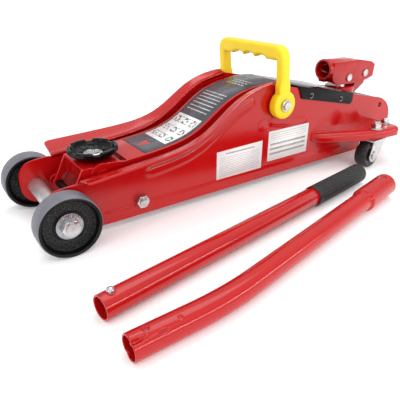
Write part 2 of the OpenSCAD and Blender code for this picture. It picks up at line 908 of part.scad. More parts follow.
module upper_handle_tube() {
    color(red) place() on_grip_place() difference() {
        tube_x(tube_r, 0, grip_tube_l - 3);
        tube_x(tube_r - tube_wall, -1, grip_tube_l);
        translate([button_x, 0, 0]) cylinder(r = button_r + fit, h = 20);
    }
}

module rubber_grip() {
    x0 = grip_tube_l - rubber_l;
    color(black) place() on_grip_place() difference() {
        union() {
            tube_x(rubber_r, x0, grip_tube_l - 7);
            translate([grip_tube_l - 7, 0, 0]) rotate([0, 90, 0])
                rotate_extrude() intersection() {
                    translate([rubber_r - 7, 0]) circle(7);
                    square([rubber_r, 7]);
                }
            tube_x(rubber_r - 7, grip_tube_l - 8, grip_tube_l);
        }
        tube_x(tube_r, x0 - 1, grip_tube_l - 3);
    }
}

// The button is shown out: its stem stands through the wall and its foot stops it
module push_button() {
    inside = tube_r - tube_wall;
    color(steel) place() on_grip_place() translate([button_x, 0, 0]) {
        translate([0, 0, inside - 2]) cylinder(r = button_r, h = tube_wall + 4);
        translate([0, 0, inside + tube_wall + 1.9]) sphere(r = 2.8, $fn = 32);
        translate([0, 0, inside - 3.2]) cylinder(r = button_r + 1, h = 1.6);
    }
}

// Bent strip spring: one leg on the tube's floor, the other under the button's foot
module button_spring() {
    low = -10.2;
    high = tube_r - tube_wall - 3.3;
    strip = 0.8;
    end_x = button_x + 42;
    color(steel) place() on_grip_place() across(-3.5, 3.5) polygon([
        [button_x - 6, low], [end_x, low], [end_x + 1.2, low + 1], [button_x + 7, high],
        [button_x - 6, high], [button_x - 6, high - strip], [button_x + 6.6, high - strip],
        [end_x - 1.5, low + strip], [button_x - 6, low + strip]
    ]);
}

bent_start = [16, 249.4];
bent_near_l = 62;
bend_r = 400;
far_l = 300;
swage_r = 15.6;
swage_l = 72;
swage_bore_r = tube_r + 0.25;
swage_from = far_l - swage_l;
tube_in = tube_r - tube_wall;
bend_thin = 0.02;   // the bend's wall is drawn this much inside the straight tubes' faces
bend_lap = 0.4;

// Everything beyond the bend, drawn along +X from the bend's end
module past_bend() {
    translate([bent_near_l, bend_r, 0]) rotate([0, 0, bend_angle])
        translate([0, -bend_r, 0]) children();
}

module near_tube() {
    difference() {
        tube_x(tube_r, 0, bent_near_l + bend_lap);
        tube_x(tube_in, -1, bent_near_l + 1);
    }
}

module bend() {
    translate([bent_near_l, bend_r, 0]) rotate([0, 0, -90]) rotate_extrude(angle = bend_angle, $fn = 180)
        translate([bend_r, 0]) difference() {
            circle(tube_r - bend_thin);
            circle(tube_in + bend_thin);
        }
}

module swaged_tube() {
    rotate([0, 90, 0]) rotate_extrude() polygon([
        [tube_in, -bend_lap], [tube_r, -bend_lap], [tube_r, swage_from], [swage_r, swage_from + 5],
        [swage_r, far_l], [swage_bore_r, far_l], [swage_bore_r, swage_from + 8],
        [tube_in, swage_from + 6]
    ]);
}

module lower_handle_tube() {
    color(red) place() on_floor(bent_start, 0.8, swage_r, 365) difference() {
        union() {
            near_tube();
            bend();
            past_bend() swaged_tube();
        }
        translate([16, 0, 0]) cylinder(r = 3, h = 20);
        past_bend() translate([far_l - button_x, 0, 0]) cylinder(r = button_r + 0.4, h = 20);
    }
}

side_plate_left();
side_plate_right();
front_axle();
axle_washers();
axle_nuts();
front_wheel_left();
front_wheel_right();
tie_bolt();
tie_spacer();
tie_nuts();
arm_pivot_shaft();
pivot_bushes();
rod_studs();
base_plate();
hydraulic_block();
oil_reservoir();
ram_cylinder();
release_screw();
oil_filler_plug();
return_spring();
top_cover();
cover_screws();
caster_wing_left();
caster_wing_right();
caster_kingpins();
kingpin_nuts();
wing_bolts();
caster_fork_left();
caster_fork_right();
caster_rivet_left();
caster_rivet_right();
caster_wheel_left();
caster_wheel_right();
carry_handle();
carry_bolts();
side_labels();
lift_arm();
lever_pin();
arm_film();
saddle_bracket();
hinge_pins();
rod_bolt();
saddle();
saddle_screw();
levelling_rod_left();
levelling_rod_right();
ram_rod();
ram_head();
swivel_yoke();
fulcrum_rivet();
handle_socket();
plunger_rivet();
pump_plunger();
upper_handle_tube();
rubber_grip();
push_button();
button_spring();
lower_handle_tube();
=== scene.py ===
import json
import math

import bmesh
import bpy
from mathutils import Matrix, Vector


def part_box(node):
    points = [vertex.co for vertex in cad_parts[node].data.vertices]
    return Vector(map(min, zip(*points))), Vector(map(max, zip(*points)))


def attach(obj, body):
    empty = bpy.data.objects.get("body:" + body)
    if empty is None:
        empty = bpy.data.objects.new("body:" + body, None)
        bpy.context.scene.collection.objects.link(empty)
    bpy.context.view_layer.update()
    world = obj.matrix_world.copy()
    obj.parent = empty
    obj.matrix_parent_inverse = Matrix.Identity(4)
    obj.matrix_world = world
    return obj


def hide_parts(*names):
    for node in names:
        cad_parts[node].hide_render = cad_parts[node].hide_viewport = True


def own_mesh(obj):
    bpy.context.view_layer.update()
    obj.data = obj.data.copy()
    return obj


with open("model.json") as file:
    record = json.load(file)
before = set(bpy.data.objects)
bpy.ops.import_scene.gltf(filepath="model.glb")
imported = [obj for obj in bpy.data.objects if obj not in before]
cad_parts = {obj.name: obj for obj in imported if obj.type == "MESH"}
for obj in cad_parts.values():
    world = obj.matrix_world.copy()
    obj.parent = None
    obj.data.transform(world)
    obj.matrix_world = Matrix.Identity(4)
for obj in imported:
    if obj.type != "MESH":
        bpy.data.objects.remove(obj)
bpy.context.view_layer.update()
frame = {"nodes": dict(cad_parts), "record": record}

NODES = frame["nodes"]
MM = 0.001

# Sizes that several sections share, in millimetres
WHEEL_R = 36
PLATE_IN, PLATE_OUT = 51, 54
SIDES = {"left": 1, "right": -1}
ACROSS = Vector((0, 1, 0))
UP = Vector((0, 0, 1))


def middle(node):
    low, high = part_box(node)
    return (low + high) / 2


# The jack's own origin: under the middle of the front axle, on the floor
ORIGIN = Vector((middle("front_axle").x, middle("front_axle").y, 0))


def at(x, y, z):
    """A point given in millimetres from the jack's own origin, in metres in the row frame."""
    return ORIGIN + Vector((x, y, z)) * MM


# ---------- materials ----------


class Nodes:
    """Short calls for building one material's node tree."""

    def __init__(self, name):
        self.material = bpy.data.materials.new(name)
        self.material.use_nodes = True
        self.tree = self.material.node_tree
        self.shader = self.tree.nodes["Principled BSDF"]
        self.place = self.new("ShaderNodeTexCoord").outputs["Object"]

    def new(self, kind, **settings):
        node = self.tree.nodes.new(kind)
        for key, value in settings.items():
            setattr(node, key, value)
        return node

    def link(self, output, socket):
        self.tree.links.new(output, socket)

    def scaled(self, scale):
        """The object's coordinates stretched by a number or by three of them."""
        mapping = self.new("ShaderNodeMapping")
        self.link(self.place, mapping.inputs["Vector"])
        mapping.inputs["Scale"].default_value = scale if isinstance(scale, tuple) else (scale,) * 3
        return mapping.outputs["Vector"]

    def noise(self, scale, detail=3.0, rough=0.5):
        """Noise from 0 to 1, scale to the metre."""
        node = self.new("ShaderNodeTexNoise")
        node.inputs["Scale"].default_value = 1.0
        node.inputs["Detail"].default_value = detail
        node.inputs["Roughness"].default_value = rough
        self.link(self.scaled(scale), node.inputs["Vector"])
        return node.outputs["Fac"]

    def ramp(self, factor, stops):
        """stops is [(position, grey or colour)]"""
        node = self.new("ShaderNodeValToRGB")
        self.link(factor, node.inputs["Fac"])
        elements = node.color_ramp.elements
        while len(elements) < len(stops):
            elements.new(0.5)
        for element, (position, value) in zip(elements, stops):
            element.position = position
            grey = isinstance(value, (int, float))
            element.color = (value, value, value, 1) if grey else (*value, 1)
        return node.outputs["Color"]

    def math(self, operation, a, b=None):
        """One Math node; a and b are sockets or numbers."""
        node = self.new("ShaderNodeMath", operation=operation)
        for socket, value in zip(node.inputs, (a, b)):
            if value is None:
                continue
            if isinstance(value, (int, float)):
                socket.default_value = value
            else:
                self.link(value, socket)
        return node.outputs["Value"]

    def mix(self, factor, a, b):
        """Colour a where factor is 0 and b where it is 1."""
        node = self.new("ShaderNodeMix", data_type="RGBA")
        self.link(factor, node.inputs["Factor"])
        for name, value in (("A", a), ("B", b)):
            socket = [s for s in node.inputs if s.name == name and s.type == "RGBA"][0]
            if isinstance(value, tuple):
                socket.default_value = (*value, 1)
            else:
                self.link(value, socket)
        return [s for s in node.outputs if s.type == "RGBA"][0]

    def axis(self, k):
        """The object's coordinate along row axis k, in metres."""
        split = self.new("ShaderNodeSeparateXYZ")
        self.link(self.place, split.inputs["Vector"])
        return split.outputs[k]

    def within(self, value, low, high):
        """1 where value lies between low and high, else 0."""
        above = self.math("GREATER_THAN", value, min(low, high))
        return self.math("MULTIPLY", above, self.math("LESS_THAN", value, max(low, high)))

    def rows(self, value, pitch, share):
        """1 on stripes: a share of each pitch along value."""
        return self.math("LESS_THAN", self.math("FRACT", self.math("MULTIPLY", value, 1 / pitch)), share)

    def both(self, *masks):
        """1 where every mask is 1."""
        result = masks[0]
        for mask in masks[1:]:
            result = self.math("MULTIPLY", result, mask)
        return result

    def colour(self, output):
        self.link(output, self.shader.inputs["Base Color"])

    def rough(self, factor, low, high):
        """Roughness between low and high, following factor."""
        self.link(self.ramp(factor, [(0.3, low), (0.7, high)]), self.shader.inputs["Roughness"])

    def bump(self, height, distance, strength=1.0):
        node = self.new("ShaderNodeBump")
        node.inputs["Strength"].default_value = strength
        node.inputs["Distance"].default_value = distance
        self.link(height, node.inputs["Height"])
        self.link(node.outputs["Normal"], self.shader.inputs["Normal"])

    def set(self, **values):
        """Values that are the same all over the surface, on the shader's own sockets."""
        for key, value in values.items():
            self.shader.inputs[key.replace("_", " ").title().replace("Ior", "IOR")].default_value = value


def paint(name, colour, dark, low, high, shine):
    """Glossy enamel: a little unevenness in colour and gloss, and orange peel."""
    m = Nodes(name)
    m.colour(m.ramp(m.noise(20, 3), [(0.3, dark), (0.7, colour)]))
    m.rough(m.noise(90, 3), low, high)
    m.bump(m.noise(160, 1), 0.000006)
    m.set(specular_ior_level=shine)
    return m.material


def plated(name, colour, dark, low, high):
    """Zinc plate or ground steel with faint spangle and fine scratches."""
    m = Nodes(name)
    m.colour(m.ramp(m.noise(160, 4), [(0.35, dark), (0.65, colour)]))
    m.rough(m.noise((900, 900, 90), 3), low, high)
    m.bump(m.noise(1500, 2), 0.000005)
    m.set(metallic=1.0)
    return m.material


def moulded(name, colour, dark, low, high, grain, depth, shine):
    """Moulded plastic or rubber with a fine grain."""
    m = Nodes(name)
    m.colour(m.ramp(m.noise(60, 4), [(0.3, dark), (0.7, colour)]))
    m.rough(m.noise(250, 4), low, high)
    m.bump(m.noise(grain, 3, 0.65), depth)
    m.set(specular_ior_level=shine)
    return m.material


def jack_x(x):
    """A distance along the jack in millimetres, as a row coordinate in metres."""
    return ORIGIN.x + x * MM


def jack_y(y):
    """A distance across the jack in millimetres, as a row coordinate in metres."""
    return ORIGIN.y + y * MM


def distance(m, a, b):
    """Length of the vector (a, b)."""
    return m.math("SQRT", m.math("ADD", m.math("MULTIPLY", a, a), m.math("MULTIPLY", b, b)))


def wheel_nylon():
    """Front wheel: the rolled tread is paler, the dished faces are black with a coarse grain."""
    m = Nodes("front_wheel_nylon")
    across = m.math("SUBTRACT", m.axis(0), jack_x(0))
    up = m.math("SUBTRACT", m.axis(2), WHEEL_R * MM)
    radius = distance(m, across, up)
    tread = m.math("GREATER_THAN", radius, (WHEEL_R - 1.2) * MM)
    disc = m.within(radius, 18.5 * MM, 29 * MM)
    grain = m.noise(650, 2, 0.6)
    face = m.ramp(m.math("MULTIPLY", grain, disc), [(0.5, 0.002), (0.66, 0.05)])
    worn = m.ramp(m.noise(60, 4), [(0.3, (0.14, 0.14, 0.165)), (0.7, (0.19, 0.19, 0.22))])
    m.colour(m.mix(tread, face, worn))
    m.rough(m.math("ADD", m.math("MULTIPLY", tread, 0.5), m.math("MULTIPLY", m.noise(200), 0.4)), 0.26, 0.5)
    m.bump(m.math("MULTIPLY", grain, m.math("ADD", disc, 0.1)), 0.0008)
    m.set(specular_ior_level=0.25)
    return m.material


def marks(m, along_row, density):
    """Broken dashes along a row, so that it reads as print without being any."""
    node = m.new("ShaderNodeTexNoise")
    node.noise_dimensions = "1D"
    node.inputs["Scale"].default_value = density
    node.inputs["Detail"].default_value = 1.0
    m.link(along_row, node.inputs["W"])
    return m.math("GREATER_THAN", node.outputs["Fac"], 0.48)


def arm_print():
    """The film on the lift arm: dark grey, a pale panel of ring marks, rows of dashes, a red triangle."""
    m = Nodes("arm_print")
    x, y = m.axis(0), m.axis(1)
    base = m.ramp(m.noise(90, 3), [(0.3, (0.064, 0.064, 0.077)), (0.7, (0.080, 0.080, 0.094))])
    panel_x, panel_y = jack_x(-208), jack_y(-29)
    panel = m.both(m.within(x, panel_x, jack_x(-150)), m.within(y, panel_y, jack_y(26)))
    cell = 18.5 * MM

    def in_cell(value, start):
        """Place within a cell of the panel's grid, from -0.5 to 0.5."""
        cells = m.math("MULTIPLY", m.math("SUBTRACT", value, start), 1 / cell)
        return m.math("SUBTRACT", m.math("FRACT", cells), 0.5)

    away = distance(m, in_cell(x, panel_x), in_cell(y, panel_y))
    rings = m.both(m.within(away, 0.14, 0.30), m.math("GREATER_THAN", m.noise(260, 2), 0.47))
    bars = m.both(m.rows(x, 9.2 * MM, 0.12), marks(m, y, 300))
    dark_on_panel = m.math("MAXIMUM", rings, bars)
    lines = m.both(m.within(x, jack_x(-252), jack_x(-214)), m.within(y, jack_y(-25), jack_y(23)),
                   m.rows(x, 5.4 * MM, 0.24), marks(m, m.math("ADD", y, m.math("MULTIPLY", x, 7.0)), 420))
    rear_lines = m.both(m.within(x, jack_x(-300), jack_x(-282)), m.within(y, jack_y(-20), jack_y(20)),
                        m.rows(x, 7 * MM, 0.3), marks(m, y, 350))
    white, ink, red = (0.80, 0.80, 0.80), (0.10, 0.10, 0.11), (0.52, 0.03, 0.03)
    printed = m.mix(m.math("MAXIMUM", lines, rear_lines), base, white)
    printed = m.mix(panel, printed, m.mix(dark_on_panel, white, ink))
    tip = jack_x(-121)
    half_width = m.math("MULTIPLY", m.math("SUBTRACT", tip, x), 0.42)
    from_middle = m.math("ABSOLUTE", m.math("SUBTRACT", y, jack_y(2)))
    triangle = m.both(m.within(x, jack_x(-138), tip), m.math("LESS_THAN", from_middle, half_width))
    m.colour(m.mix(triangle, printed, red))
    m.rough(m.noise(150, 3), 0.22, 0.34)
    m.bump(m.noise(300, 2), 0.00001)
    m.set(specular_ior_level=0.35)
    return m.material


def label_print():
    """The two paper labels: rows of grey dashes that only look like print."""
    m = Nodes("label_print")
    x, z = m.axis(0), m.axis(2)
    paper = m.ramp(m.noise(70, 3), [(0.3, (0.82, 0.81, 0.80)), (0.7, (0.87, 0.86, 0.85))])
    dashes = marks(m, m.math("ADD", x, m.math("MULTIPLY", z, 9.0)), 700)
    front = m.within(x, jack_x(-289), jack_x(-218))
    rear = m.within(x, jack_x(-381), jack_x(-309))
    fine = m.both(front, m.within(z, 31 * MM, 58.5 * MM), m.rows(z, 2.6 * MM, 0.38), dashes)
    heading = m.both(m.within(x, jack_x(-279), jack_x(-228)), m.within(z, 61.5 * MM, 63.8 * MM), dashes)
    small = m.both(rear, m.within(z, 65 * MM, 76 * MM), m.rows(z, 3.4 * MM, 0.38), dashes)
    bold = m.both(rear, m.within(z, 39 * MM, 60.5 * MM), m.rows(z, 7.2 * MM, 0.42), dashes)
    inked = m.mix(m.math("MAXIMUM", fine, small), paper, (0.34, 0.33, 0.33))
    m.colour(m.mix(m.math("MAXIMUM", heading, bold), inked, (0.10, 0.10, 0.11)))
    m.rough(m.noise(200, 3), 0.4, 0.55)
    m.bump(m.noise(600, 2), 0.00001)
    return m.material


RED = (0.47, 0.004, 0.004)
RED_DARK = (0.44, 0.003, 0.004)

MATERIALS = {
    "red_paint": paint("red_enamel", RED, RED_DARK, 0.13, 0.18, 0.45),
    "zinc": plated("zinc_plate", (0.60, 0.60, 0.60), (0.46, 0.46, 0.47), 0.15, 0.24),
    "ground_steel": plated("ground_steel", (0.85, 0.85, 0.85), (0.75, 0.75, 0.76), 0.12, 0.22),
    "dark_steel": plated("dark_steel", (0.25, 0.25, 0.26), (0.18, 0.18, 0.19), 0.4, 0.55),
    "spring_steel": plated("spring_steel", (0.5, 0.5, 0.5), (0.42, 0.42, 0.43), 0.25, 0.4),
    "black_paint": paint("black_enamel", (0.006, 0.006, 0.007), (0.004, 0.004, 0.005), 0.14, 0.2, 0.12),
    "saddle_black": paint("saddle_enamel", (0.003, 0.003, 0.004), (0.002, 0.002, 0.003), 0.05, 0.08, 0.2),
    "wheel_black": moulded("wheel_nylon", (0.020, 0.020, 0.022), (0.012, 0.012, 0.014),
                           0.2, 0.32, 900, 0.00006, 0.25),
    "yellow_plastic": moulded("yellow_plastic", (0.93, 0.68, 0.012), (0.88, 0.63, 0.01),
                              0.3, 0.42, 700, 0.00003, 0.4),
    "rubber": moulded("grip_rubber", (0.016, 0.016, 0.018), (0.010, 0.010, 0.011),
                      0.42, 0.6, 800, 0.00006, 0.4),
    "label_white": label_print(),
    "film_grey": arm_print(),
}
# Nodes whose finish differs a little from the rest of their slot. The axle washers' zinc is rougher, and
# its darker, bluer colour is painted shade.
FRONT_WHEEL = wheel_nylon()
# Rougher zinc whose darker, bluer colour is painted shade on the axle washers
SHADED_ROUGH_ZINC = plated("shaded_rough_zinc", (0.44, 0.46, 0.49), (0.34, 0.36, 0.39), 0.22, 0.32)
BRUSHED = plated("brushed_zinc", (0.66, 0.66, 0.67), (0.52, 0.52, 0.54), 0.34, 0.5)
SPECIAL = {"front_wheel_left": FRONT_WHEEL, "front_wheel_right": FRONT_WHEEL, "axle_washers": SHADED_ROUGH_ZINC,
           "front_axle": BRUSHED}


def finish(obj, slot):
    """Gives the whole of a mesh one material."""
    obj.data.materials.clear()
    obj.data.materials.append(MATERIALS[slot])


# ---------- the CAD nodes ----------

# Width in millimetres of the rounding along each node's sharp edges
EDGE = {
    "handle_socket": 1.6, "lift_arm": 1.0, "top_cover": 0.7, "swivel_yoke": 1.2, "saddle_bracket": 0.9,
    "side_labels": 0.0, "arm_film": 0.0, "return_spring": 0.0,
}
EDGE_OTHER = 0.4


def soften(obj, width):
    """Rounds the sharp edges of a mesh, so that they catch the light."""
    weld = obj.modifiers.new("weld", "WELD")
    weld.merge_threshold = 0.00001
    if width:
        bevel = obj.modifiers.new("bevel", "BEVEL")
        bevel.width = width * MM
        bevel.segments = 3
        bevel.limit_method = "ANGLE"
        bevel.angle_limit = math.radians(38)
        bevel.harden_normals = False
    if obj.data.has_custom_normals:
        bpy.context.view_layer.objects.active = obj
        with bpy.context.temp_override(object=obj, active_object=obj):
            bpy.ops.mesh.customdata_custom_splitnormals_clear()
    for polygon in obj.data.polygons:
        polygon.use_smooth = True
    sharp_by_angle(obj)


def sharp_by_angle(obj):
    """Keeps flat faces flat: edges over 40 degrees are marked sharp."""
    mesh = bmesh.new()
    mesh.from_mesh(obj.data)
    for edge in mesh.edges:
        if len(edge.link_faces) == 2:
            edge.smooth = edge.calc_face_angle(0) < math.radians(40)
    mesh.to_mesh(obj.data)
    mesh.free()


SLOTS = {part["node"]: part["material_slot"] for part in frame["record"]["subparts"]}
for name, node in NODES.items():
    finish(node, SLOTS[name])
    if name in SPECIAL:
        node.data.materials[0] = SPECIAL[name]
    soften(node, EDGE.get(name, EDGE_OTHER))


# ---------- shape tools ----------


def piece(name, points, faces, body, slot, *nodes):
    """A smooth mesh in the row frame that rides on a CAD body and stands for CAD nodes."""
    mesh = bpy.data.meshes.new(name)
    mesh.from_pydata([tuple(p) for p in points], [], faces)
    build = bmesh.new()
    build.from_mesh(mesh)
    bmesh.ops.remove_doubles(build, verts=build.verts, dist=0.000001)
    bmesh.ops.recalc_face_normals(build, faces=build.faces)
    build.to_mesh(mesh)
    build.free()
    obj = bpy.data.objects.new(name, mesh)
    bpy.context.scene.collection.objects.link(obj)
    mesh.polygons.foreach_set("use_smooth", [True] * len(mesh.polygons))
    sharp_by_angle(obj)
    finish(obj, slot)
    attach(obj, body)
    if nodes:
        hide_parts(*nodes)
    return obj


def loft(loops, closed=False):
    """A skin over a row of closed loops of equal length. Its ends are capped, or meet when closed."""
    n, rows = len(loops[0]), len(loops)
    points = [p for loop in loops for p in loop]
    faces = [(i * n + k, i * n + (k + 1) % n, (i + 1) % rows * n + (k + 1) % n, (i + 1) % rows * n + k)
             for i in range(rows if closed else rows - 1) for k in range(n)]
    if not closed:
        faces.append(tuple(range(n)))
        faces.append(tuple((rows - 1) * n + k for k in range(n)))
    return points, faces


def swept(name, stations, body, slot, *nodes, n=64, closed=False):
    """A skin swept through stations of (centre in mm, direction, radius). The radius may depend on the
    angle round the station, and so may the distance moved along its direction, the optional fourth."""
    loops = []
    for centre, direction, radius, *shift in stations:
        up = Vector((0, 0, 1)) if abs(direction.z) < 0.9 else Vector((1, 0, 0))
        side = direction.cross(up).normalized()
        above = side.cross(direction)
        loop = []
        for k in range(n):
            a = 2 * math.pi * k / n
            r = radius(a) if callable(radius) else radius
            moved = direction * shift[0](a) if shift else Vector()
            loop.append(at(*(centre + moved + (side * math.cos(a) + above * math.sin(a)) * r)))
        loops.append(loop)
    return piece(name, *loft(loops, closed), body, slot, *nodes)


def turned(name, start, direction, profile, body, slot, *nodes, n=64, closed=False):
    """A shape turned about an axis through start; profile is [(distance along it, radius)] in mm."""
    start, direction = Vector(start), Vector(direction).normalized()
    stations = [(start + direction * t, direction, r) for t, r in profile]
    return swept(name, stations, body, slot, *nodes, n=n, closed=closed)


def slab(name, outline, y0, y1, body, slot, *nodes):
    """An (x, z) outline in mm, extruded across the jack."""
    loops = [[at(x, y, z) for x, z in outline] for y in (y0, y1)]
    return piece(name, *loft(loops), body, slot, *nodes)


def arc(centre, r, start, stop, steps):
    """Points on an arc between two angles in degrees."""
    turns = [math.radians(start + (stop - start) * i / steps) for i in range(steps + 1)]
    return [(centre[0] + r * math.cos(a), centre[1] + r * math.sin(a)) for a in turns]


def hexagon(width):
    """Radius of a hexagon of a given width across its flats, by angle."""
    return lambda a: width / 2 / math.cos(a % (math.pi / 3) - math.pi / 6)


def nut(name, start, direction, width, height, bore, body, *nodes):
    """A hexagon nut with chamfered corners, standing on start."""
    flat = hexagon(width)
    chamfer = 0.045 * width
    rows = []
    for t in (0, 0.35, 0.7, 1.0):
        limit = width / 2 + t * chamfer * 1.75
        rows.append((t * chamfer, lambda a, limit=limit: min(flat(a), limit)))
    profile = [(0, bore)] + rows + [(height - t, r) for t, r in rows[::-1]] + [(height, bore)]
    turned(name, start, direction, profile, body, "zinc", *nodes, n=96, closed=True)


def spread(a, b, step):
    """Evenly spaced values from a to b, about step apart."""
    n = max(2, round(abs(b - a) / step))
    return [a + (b - a) * i / n for i in range(n + 1)]


def along(points, x):
    """Height at x on an outline given as (x, height) points in order of x."""
    for (x0, z0), (x1, z1) in zip(points, points[1:]):
        if x <= x1:
            return z0 + (z1 - z0) * (max(x, x0) - x0) / (x1 - x0)
    return points[-1][1]


def rounded(points):
    """An outline with its corners cut twice, its ends kept."""
    for _ in range(2):
        cut = [points[0]]
        for (x0, z0), (x1, z1) in zip(points, points[1:]):
            cut += [(x0 + (x1 - x0) * t, z0 + (z1 - z0) * t) for t in (0.25, 0.75)]
        points = cut + [points[-1]]
    return points


def ease(t):
    """A smooth step from 0 at t = 0 to 1 at t = 1."""
    t = min(max(t, 0.0), 1.0)
    return t * t * (3 - 2 * t)


# ---------- side plates ----------

FLANGE_FRONT, FLANGE_REAR = -25, -301
FLANGE_T = 2.8
FLANGE_W, FLANGE_NARROWS = 31, 21
BEND_R = 5.0
PLATE_REAR, PLATE_FRONT = -592, 19
PLATE_TOP_REAR = rounded([(-592, 46), (-591, 64), (-585, 77), (-574, 87), (-560, 94.2), (-549, 96.4)])
PLATE_TOP_REAR += [(-339, 139), (-316, 144), (-301, 147)]
PLATE_TOP_FRONT = rounded([(-25, 70.5), (-6, 69.8), (4, 68.3), (9, 66), (13, 62.5), (16.5, 57.5),
                           (18.4, 52), (19, 44)])
PLATE_FOOT = rounded([(-592, 44), (-591, 29), (-585, 19), (-577, 13), (-565, 11)])
PLATE_FOOT += rounded([(-6, 11), (2, 12), (8, 14.6), (13, 19), (16.5, 24.5), (18.4, 30.5), (19, 40)])
# The bead under the flange, and the pad behind it, which rises to the front
BEAD_REAR, BEAD_FRONT, BEAD_BELOW = -268, -114, 16.5
PAD_REAR, PAD_LENGTH, PAD_Z, PAD_RISE = -372, 60, 84, 11
LABEL_TOP = 80
REAR_HOLE = (-559, 82)
REAR_HOLE_R = 4.3


def bend_z(x):
    """Height of the flange's bend line: a gentle rise, then an S up to the pump end."""
    return 73.5 + 0.075 * (FLANGE_FRONT - x) + 55 / (1 + math.exp((x + 218) / 21))


def flange_share(x):
    """How far x is along the flange, from 0 at its front to 1 at its rear."""
    return (FLANGE_FRONT - x) / (FLANGE_FRONT - FLANGE_REAR)


def flange_width(x):
    return FLANGE_W - FLANGE_NARROWS * flange_share(x)


def flange_slope(x):
    """Angle of the flange above level at x, in radians."""
    return math.atan2(8 - 4.5 * flange_share(x), flange_width(x))


def arc_centre_z(x):
    """Height of the centre of the flange's bend, so that its tip is at the right height."""
    slope = flange_slope(x)
    rise = 8.2 - 4.5 * flange_share(x)
    reach = flange_width(x) - BEND_R + BEND_R * math.sin(slope)
    return bend_z(x) + rise - BEND_R * math.cos(slope) - reach * math.tan(slope)


def plate_top(x):
    """Height of the plate's own upper edge, under the flange's bend where it has one."""
    if x > FLANGE_FRONT:
        return along(PLATE_TOP_FRONT, x)
    if x < FLANGE_REAR:
        return along(PLATE_TOP_REAR, x)
    ends = ease((x - FLANGE_REAR) / 6)
    return (arc_centre_z(x) - 0.5) * ends + (1 - ends) * bend_z(x)


def pressed(x, z):
    """How far the plate is pressed outwards at (x, z): the bead along the flange, the pad behind it
    and the strip along the foot."""
    on_bead = min(max(x, BEAD_REAR), BEAD_FRONT)
    slope = (bend_z(on_bead + 1) - bend_z(on_bead - 1)) / 2
    centre = bend_z(on_bead) - BEAD_BELOW
    off = abs(z - centre) / math.hypot(1, slope) if on_bead == x else math.hypot(x - on_bead, z - centre)
    bead = 2.0 * ease((8.0 - off) / 4.5)
    t = min(max((x - PAD_REAR) / PAD_LENGTH, 0), 1)
    pad_off = math.hypot(x - (PAD_REAR + PAD_LENGTH * t), z - (PAD_Z + PAD_RISE * t))
    pad = 1.7 * ease((9.0 - pad_off) / 4.0) * ease((z - LABEL_TOP) / 2)
    strip = 1.0 * ease((27.5 - z) / 3.0) * ease((x + 560) / 20) * ease((-40 - x) / 20)
    return max(bead, pad, strip)


def side_wall(side):
    """The plate itself, a grid between its foot and its top, with the rear hole."""
    sign = SIDES[side]
    ends = [0, 0.25, 0.6, 1.1, 1.7, 2.4, 3.2, 4.2]
    xs = [PLATE_REAR + e for e in ends] + spread(PLATE_REAR + 6, PLATE_FRONT - 6, 2.4)
    xs += [PLATE_FRONT - e for e in ends[::-1]]
    rows = 58
    points, keep = [], []
    for x in xs:
        low, high = along(PLATE_FOOT, x), plate_top(x)
        for k in range(rows + 1):
            px, z = x, low + (high - low) * k / rows
            away = math.hypot(px - REAR_HOLE[0], z - REAR_HOLE[1])
            keep.append(away > REAR_HOLE_R * 0.75)
            if 0 < away < REAR_HOLE_R * 1.35:
                px = REAR_HOLE[0] + (px - REAR_HOLE[0]) * REAR_HOLE_R / away
                z = REAR_HOLE[1] + (z - REAR_HOLE[1]) * REAR_HOLE_R / away
            points.append(at(px, sign * (PLATE_OUT + pressed(px, z)), z))
    n = rows + 1
    faces = []
    for i in range(len(xs) - 1):
        for k in range(rows):
            corners = (i * n + k, i * n + k + 1, (i + 1) * n + k + 1, (i + 1) * n + k)
            if all(keep[c] for c in corners):
                faces.append(corners)
    used = sorted(set(c for f in faces for c in f))
    order = {old: new for new, old in enumerate(used)}
    faces = [tuple(order[c] for c in f) for f in faces]
    wall = piece("plate_wall_" + side, [points[c] for c in used], faces, "frame", "red_paint",
                 "side_plate_" + side)
    outwards = Vector((0, sign, 0))
    if wall.data.polygons[0].normal.dot(outwards) < 0:
        wall.data.flip_normals()
    thick = wall.modifiers.new("thickness", "SOLIDIFY")
    thick.thickness = (PLATE_OUT - PLATE_IN) * MM
    thick.offset = -1
    round_edges(wall, 0.7)


def flange_loop(x, sign, share):
    """One closed section of the flange at x; share below 1 draws its tip in."""
    slope, z0 = flange_slope(x), arc_centre_z(x)
    least = 6
    width = least + (flange_width(x) - least) * share
    top, under = [(PLATE_IN, z0 - 3)], [(PLATE_IN + FLANGE_T, z0 - 3)]
    bends = 7
    for i in range(bends + 1):
        turn = math.pi - (math.pi / 2 - slope) * i / bends
        for row, r in ((top, BEND_R), (under, BEND_R - FLANGE_T)):
            row.append((PLATE_IN + BEND_R + r * math.cos(turn), z0 + r * math.sin(turn)))
    reach = PLATE_IN + width - top[-1][0]
    for row in (top, under):
        y, z = row[-1]
        row.extend([(y + reach * k, z + reach * k * math.tan(slope)) for k in (0.5, 1.0)])
    return [at(x, sign * y, z) for y, z in top + under[::-1]]


def flange(side):
    """The out-turned flange, with its corners rounded in plan."""
    xs = spread(FLANGE_FRONT, FLANGE_REAR, 3)
    corner = 8
    loops = []
    for x in [FLANGE_FRONT, FLANGE_FRONT - 0.8] + xs[1:-1] + [FLANGE_REAR + 0.8, FLANGE_REAR]:
        end = min(FLANGE_FRONT - x, x - FLANGE_REAR)
        drawn = corner - math.sqrt(max(corner ** 2 - max(corner - end, 0) ** 2, 0))
        loops.append(flange_loop(x, SIDES[side], 1 - drawn / FLANGE_W * (1 + 1.6 * flange_share(x))))
    points, faces = loft(loops)
    obj = piece("plate_flange_" + side, points, faces, "frame", "red_paint")
    round_edges(obj, 0.8)


def round_edges(obj, width):
    """A bevel, width in millimetres, along the sharp edges of a piece."""
    bevel = obj.modifiers.new("bevel", "BEVEL")
    bevel.width = width * MM
    bevel.segments = 3
    bevel.limit_method = "ANGLE"
    bevel.angle_limit = math.radians(40)


for side in SIDES:
    side_wall(side)
    flange(side)


# ---------- nuts, bolts and rivets ----------


